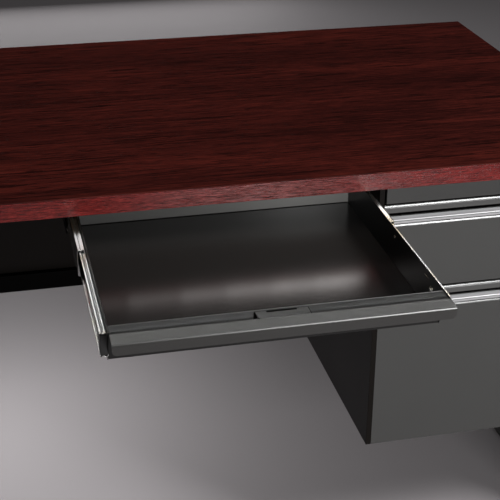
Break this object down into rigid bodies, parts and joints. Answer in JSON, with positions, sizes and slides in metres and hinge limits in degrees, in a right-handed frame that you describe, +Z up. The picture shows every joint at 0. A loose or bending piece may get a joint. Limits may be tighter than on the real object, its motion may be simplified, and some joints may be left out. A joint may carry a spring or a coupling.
{
  "type": "office desk",
  "caption": "Steel office desk with a wood-grain top, hanging drawer pedestal and a shallow keyboard tray that pulls out on slides.",
  "frame": {"origin": "on the floor, under the middle of the box around the desk and its pulled-out tray", "axes": "+X to the right along the desk's width, +Y to the back, +Z up; the tray pulls out towards -Y"},
  "size_m": [1.524, 1.114, 0.749],
  "materials": {
    "laminate": "satin mahogany-grain laminate",
    "edge": "satin mahogany-grain edge band",
    "core": "raw particle board",
    "steel": "satin charcoal paint",
    "pull": "satin charcoal paint",
    "black": "satin black paint",
    "zinc": "zinc plated",
    "lock": "bright",
    "glide": "moulded"
  },
  "bodies": {
    "desk": {"box_drawer_slide_fixed_left": "zinc", "box_drawer_slide_fixed_right": "zinc", "file_drawer_slide_fixed_left": "zinc", "file_drawer_slide_fixed_right": "zinc", "left_end_liner": "steel", "left_end_panel": "steel", "left_top_cleat": "black", "lock_sleeve": "lock", "modesty_channel": "black", "modesty_panel": "steel", "pedestal_back": "steel", "pedestal_bottom": "steel", "pedestal_header": "steel", "pedestal_side_left": "steel", "pedestal_side_right": "steel", "pedestal_top_rail": "black", "rear_top_rail": "black", "right_end_liner": "steel", "right_end_panel": "steel", "tray_bracket_left": "black", "tray_bracket_right": "black", "tray_slide_fixed_left": "zinc", "tray_slide_fixed_right": "zinc", "worktop_core": "core", "worktop_edge_band": "edge", "worktop_laminate": "laminate"},
    "tray": {"tray_back": "steel", "tray_floor": "black", "tray_front": "black", "tray_lip": "steel", "tray_screw_left": "zinc", "tray_screw_right": "zinc", "tray_slide_inner_left": "zinc", "tray_slide_inner_right": "zinc", "tray_strike": "steel", "tray_wall_left": "steel", "tray_wall_right": "steel"},
    "tray_middles": {"tray_slide_middle_left": "zinc", "tray_slide_middle_right": "zinc"},
    "box_drawer": {"box_drawer_body": "steel", "box_drawer_front": "steel", "box_drawer_pull": "pull", "box_drawer_slide_inner_left": "zinc", "box_drawer_slide_inner_right": "zinc"},
    "box_middles": {"box_drawer_slide_middle_left": "zinc", "box_drawer_slide_middle_right": "zinc"},
    "file_drawer": {"file_drawer_body": "steel", "file_drawer_front": "steel", "file_drawer_pull": "pull", "file_drawer_slide_inner_left": "zinc", "file_drawer_slide_inner_right": "zinc"},
    "file_middles": {"file_drawer_slide_middle_left": "zinc", "file_drawer_slide_middle_right": "zinc"},
    "lock": {"lock_cam": "zinc", "lock_plug": "lock"},
    "glide_left_back": {"glide_left_back": "glide"},
    "glide_left_front": {"glide_left_front": "glide"},
    "glide_right_back": {"glide_right_back": "glide"},
    "glide_right_front": {"glide_right_front": "glide"}
  },
  "joints": [
    {"name": "tray_slide", "type": "slide", "parent": "desk", "child": "tray", "axis": [0, 1, 0], "range_m": [0, 0.394]},
    {"name": "tray_middle_slide", "type": "slide", "parent": "desk", "child": "tray_middles", "axis": [0, 1, 0], "range_m": [0, 0.197]},
    {"name": "box_drawer_slide", "type": "slide", "parent": "desk", "child": "box_drawer", "axis": [0, -1, 0], "range_m": [0, 0.483]},
    {"name": "box_middle_slide", "type": "slide", "parent": "desk", "child": "box_middles", "axis": [0, -1, 0], "range_m": [0, 0.2415]},
    {"name": "file_drawer_slide", "type": "slide", "parent": "desk", "child": "file_drawer", "axis": [0, -1, 0], "range_m": [0, 0.483]},
    {"name": "file_middle_slide", "type": "slide", "parent": "desk", "child": "file_middles", "axis": [0, -1, 0], "range_m": [0, 0.2415]},
    {"name": "lock_turn", "type": "hinge", "parent": "desk", "child": "lock", "pos_m": [0.6768, -0.163, 0.6983], "axis": [0, -1, 0], "range_deg": [0, 90]},
    {"name": "glide_left_front_turn", "type": "hinge", "parent": "desk", "child": "glide_left_front", "pos_m": [-0.7465, -0.123, 0], "axis": [0, 0, 1], "continuous": true},
    {"name": "glide_left_back_turn", "type": "hinge", "parent": "desk", "child": "glide_left_back", "pos_m": [-0.7465, 0.505, 0], "axis": [0, 0, 1], "continuous": true},
    {"name": "glide_right_front_turn", "type": "hinge", "parent": "desk", "child": "glide_right_front", "pos_m": [0.7465, -0.123, 0], "axis": [0, 0, 1], "continuous": true},
    {"name": "glide_right_back_turn", "type": "hinge", "parent": "desk", "child": "glide_right_back", "pos_m": [0.7465, 0.505, 0], "axis": [0, 0, 1], "continuous": true}
  ],
  "couplings": [
    {"joint": "tray_middle_slide", "follows": "tray_slide", "ratio": 0.5},
    {"joint": "box_middle_slide", "follows": "box_drawer_slide", "ratio": 0.5},
    {"joint": "file_middle_slide", "follows": "file_drawer_slide", "ratio": 0.5}
  ]
}
